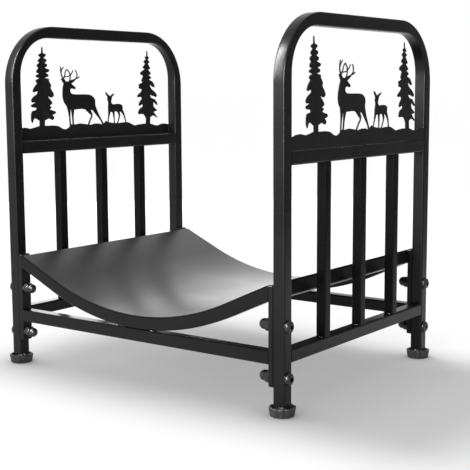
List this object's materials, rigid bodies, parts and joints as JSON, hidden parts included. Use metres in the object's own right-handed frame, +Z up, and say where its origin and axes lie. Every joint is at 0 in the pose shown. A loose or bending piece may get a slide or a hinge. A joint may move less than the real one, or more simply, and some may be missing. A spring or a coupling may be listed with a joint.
{
  "type": "log holder",
  "caption": "Freestanding indoor log rack: bent-tube end frames with laser-cut forest scenes, joined by a bolted cradle with a curved trough plate, on levelling feet.",
  "frame": {"origin": "on the floor under the middle of the rack", "axes": "+X towards the right end frame, +Y towards the rear, +Z up"},
  "size_m": [0.4348, 0.3448, 0.427],
  "materials": {
    "coated_tube": "satin black powder coat",
    "coated_panel": "satin black powder coat",
    "coated_plate": "satin black powder coat, smoother",
    "blackened_steel": "gloss black",
    "moulded_plastic": "fine matt",
    "zinc_plated_steel": "zinc plated"
  },
  "bodies": {
    "rack": {"front_bent_tube": "coated_tube", "front_straight_rail": "coated_tube", "left_bar_1": "coated_tube", "left_bar_2": "coated_tube", "left_bar_3": "coated_tube", "left_bottom_rail": "coated_tube", "left_cross_rail": "coated_tube", "left_front_leg_insert": "moulded_plastic", "left_front_lower_bolt": "blackened_steel", "left_front_lower_dome_nut": "blackened_steel", "left_front_strap": "coated_tube", "left_front_upper_bolt": "blackened_steel", "left_front_upper_dome_nut": "blackened_steel", "left_hoop": "coated_tube", "left_mid_rail": "coated_tube", "left_rear_leg_insert": "moulded_plastic", "left_rear_lower_bolt": "blackened_steel", "left_rear_lower_dome_nut": "blackened_steel", "left_rear_strap": "coated_tube", "left_rear_upper_bolt": "blackened_steel", "left_rear_upper_dome_nut": "blackened_steel", "left_scene_panel": "coated_panel", "rear_bent_tube": "coated_tube", "rear_straight_rail": "coated_tube", "right_bar_1": "coated_tube", "right_bar_2": "coated_tube", "right_bar_3": "coated_tube", "right_bottom_rail": "coated_tube", "right_cross_rail": "coated_tube", "right_front_leg_insert": "moulded_plastic", "right_front_lower_bolt": "blackened_steel", "right_front_lower_dome_nut": "blackened_steel", "right_front_strap": "coated_tube", "right_front_upper_bolt": "blackened_steel", "right_front_upper_dome_nut": "blackened_steel", "right_hoop": "coated_tube", "right_mid_rail": "coated_tube", "right_rear_leg_insert": "moulded_plastic", "right_rear_lower_bolt": "blackened_steel", "right_rear_lower_dome_nut": "blackened_steel", "right_rear_strap": "coated_tube", "right_rear_upper_bolt": "blackened_steel", "right_rear_upper_dome_nut": "blackened_steel", "right_scene_panel": "coated_panel", "trough_plate": "coated_plate"},
    "left_front_stud": {"left_front_foot_stud": "zinc_plated_steel"},
    "left_front_foot": {"left_front_foot_pad": "moulded_plastic"},
    "left_rear_stud": {"left_rear_foot_stud": "zinc_plated_steel"},
    "left_rear_foot": {"left_rear_foot_pad": "moulded_plastic"},
    "right_front_stud": {"right_front_foot_stud": "zinc_plated_steel"},
    "right_front_foot": {"right_front_foot_pad": "moulded_plastic"},
    "right_rear_stud": {"right_rear_foot_stud": "zinc_plated_steel"},
    "right_rear_foot": {"right_rear_foot_pad": "moulded_plastic"}
  },
  "joints": [
    {"name": "left_front_foot_travel", "type": "slide", "parent": "rack", "child": "left_front_stud", "axis": [0, 0, -1], "range_m": [-0.0038, 0.0076]},
    {"name": "left_front_foot_turn", "type": "hinge", "parent": "left_front_stud", "child": "left_front_foot", "pos_m": [-0.2025, -0.1575, 0], "axis": [0, 0, -1], "range_deg": [-1080, 2160]},
    {"name": "left_rear_foot_travel", "type": "slide", "parent": "rack", "child": "left_rear_stud", "axis": [0, 0, -1], "range_m": [-0.0038, 0.0076]},
    {"name": "left_rear_foot_turn", "type": "hinge", "parent": "left_rear_stud", "child": "left_rear_foot", "pos_m": [-0.2025, 0.1575, 0], "axis": [0, 0, -1], "range_deg": [-1080, 2160]},
    {"name": "right_front_foot_travel", "type": "slide", "parent": "rack", "child": "right_front_stud", "axis": [0, 0, -1], "range_m": [-0.0038, 0.0076]},
    {"name": "right_front_foot_turn", "type": "hinge", "parent": "right_front_stud", "child": "right_front_foot", "pos_m": [0.2025, -0.1575, 0], "axis": [0, 0, -1], "range_deg": [-1080, 2160]},
    {"name": "right_rear_foot_travel", "type": "slide", "parent": "rack", "child": "right_rear_stud", "axis": [0, 0, -1], "range_m": [-0.0038, 0.0076]},
    {"name": "right_rear_foot_turn", "type": "hinge", "parent": "right_rear_stud", "child": "right_rear_foot", "pos_m": [0.2025, 0.1575, 0], "axis": [0, 0, -1], "range_deg": [-1080, 2160]}
  ],
  "couplings": [
    {"joint": "left_front_foot_travel", "follows": "left_front_foot_turn", "m_per_rad": 0.00019894},
    {"joint": "left_rear_foot_travel", "follows": "left_rear_foot_turn", "m_per_rad": 0.00019894},
    {"joint": "right_front_foot_travel", "follows": "right_front_foot_turn", "m_per_rad": 0.00019894},
    {"joint": "right_rear_foot_travel", "follows": "right_rear_foot_turn", "m_per_rad": 0.00019894}
  ]
}
